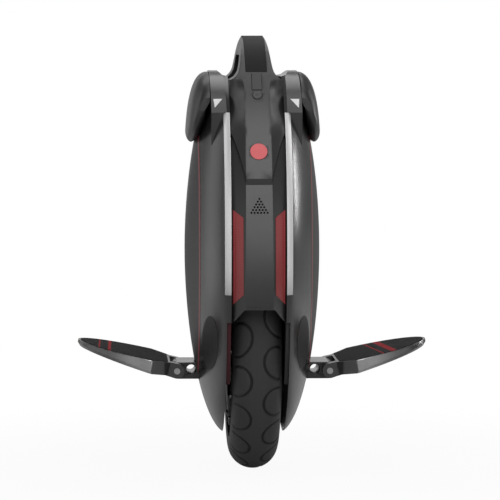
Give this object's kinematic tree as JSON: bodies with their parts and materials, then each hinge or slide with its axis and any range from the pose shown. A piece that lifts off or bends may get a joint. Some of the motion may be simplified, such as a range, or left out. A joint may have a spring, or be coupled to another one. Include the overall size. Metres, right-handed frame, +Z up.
{
  "type": "electric unicycle",
  "caption": "Self-balancing electric unicycle: one motor wheel between curved side shells, folding pedals, carry handle and a pull-out push handle.",
  "frame": {"origin": "on the ground under the wheel, bottom centre of the bounding box", "axes": "+Z up, +Y forward (the tail lamps and mudguard that the picture shows face -Y), +X to the right"},
  "size_m": [0.4758, 0.5038, 0.59],
  "materials": {
    "tyre": "grooved rubber",
    "rim": "satin paint",
    "cover": "turned",
    "steel": "ground",
    "iron": "stacked sheets",
    "copper": "wound wire",
    "frame": "moulded",
    "shell": "satin",
    "panel": "satin",
    "accent": "gloss",
    "trim": "silver paint",
    "inlay": "soft matt",
    "shoulder": "gloss",
    "body": "satin",
    "red_lens": "clear red",
    "clear_lens": "clear",
    "badge": "gloss",
    "grip": "matt",
    "key": "satin",
    "pole": "anodised",
    "battery": "shrink wrap",
    "board": "coated",
    "sink": "extruded",
    "pedal": "satin paint",
    "pad": "gritted"
  },
  "bodies": {
    "chassis": {"axle": "steel", "axle_nuts": "steel", "stator_hub": "cover", "stator_core": "iron", "stator_windings": "copper", "inner_frame_left": "frame", "inner_frame_right": "frame", "side_shell_left": "shell", "side_shell_right": "shell", "side_panel_left": "panel", "side_panel_right": "panel", "accent_line_left": "accent", "accent_line_right": "accent", "rear_trim_left": "trim", "rear_trim_right": "trim", "front_trim_left": "trim", "front_trim_right": "trim", "marker_inlay_left": "trim", "marker_inlay_right": "trim", "heel_inlay_left": "inlay", "heel_inlay_right": "inlay", "shoulder_cap_left": "shoulder", "shoulder_cap_right": "shoulder", "carry_handle": "body", "rear_mudguard": "body", "front_mudguard": "body", "tail_lens_left": "red_lens", "tail_lens_right": "red_lens", "headlight_lens": "clear_lens", "headlight_module": "sink", "badge_disc": "badge", "speaker": "frame", "pole_sleeve": "frame", "charge_socket": "key", "battery_left": "battery", "battery_right": "battery", "control_board": "board", "heat_sink": "sink", "pedal_hanger_left": "pedal", "pedal_hanger_right": "pedal"},
    "wheel": {"tyre": "tyre", "hub_rim": "rim", "motor_cover_left": "cover", "motor_cover_right": "cover", "magnet_ring": "steel", "wheel_bearings": "steel", "cover_screws": "steel"},
    "left_pedal": {"pedal_plate_left": "pedal", "pedal_pad_left": "pad", "pedal_pin_left": "steel"},
    "right_pedal": {"pedal_plate_right": "pedal", "pedal_pad_right": "pad", "pedal_pin_right": "steel"},
    "pull_out": {"pole_inner": "pole", "pole_grip": "grip"},
    "pull_out_middle": {"pole_middle": "pole"},
    "latch_key": {"pole_latch_key": "key"},
    "power_key": {"power_button": "key"},
    "lift_paddle": {"lift_switch": "key"},
    "port_cap": {"charge_cap": "grip"}
  },
  "joints": [
    {"name": "wheel_spin", "type": "hinge", "parent": "chassis", "child": "wheel", "pos_m": [0, 0, 0.208], "axis": [1, 0, 0], "continuous": true},
    {"name": "left_pedal_fold", "type": "hinge", "parent": "chassis", "child": "left_pedal", "pos_m": [-0.1035, 0, 0.137], "axis": [0, 1, 0], "range_deg": [0, 74]},
    {"name": "right_pedal_fold", "type": "hinge", "parent": "chassis", "child": "right_pedal", "pos_m": [0.1035, 0, 0.137], "axis": [0, -1, 0], "range_deg": [0, 74]},
    {"name": "pull_out_slide", "type": "slide", "parent": "chassis", "child": "pull_out", "axis": [0, 0.342, 0.9397], "range_m": [0, 0.42]},
    {"name": "pull_out_middle_slide", "type": "slide", "parent": "chassis", "child": "pull_out_middle", "axis": [0, 0.342, 0.9397], "range_m": [0, 0.21]},
    {"name": "latch_key_press", "type": "slide", "parent": "chassis", "child": "latch_key", "axis": [0, 0.6914, -0.7225], "range_m": [0, 0.002], "stiffness_N_per_m": 600},
    {"name": "power_key_press", "type": "slide", "parent": "chassis", "child": "power_key", "axis": [0, 0.7572, -0.6532], "range_m": [0, 0.0015], "stiffness_N_per_m": 600},
    {"name": "lift_paddle_press", "type": "slide", "parent": "chassis", "child": "lift_paddle", "axis": [0, 0, 1], "range_m": [0, 0.0025], "stiffness_N_per_m": 800},
    {"name": "port_cap_hinge", "type": "hinge", "parent": "chassis", "child": "port_cap", "pos_m": [0, 0.15315, 0.53228], "axis": [1, 0, 0], "range_deg": [0, 115]}
  ],
  "couplings": [
    {"joint": "pull_out_middle_slide", "follows": "pull_out_slide", "ratio": 0.5}
  ]
}
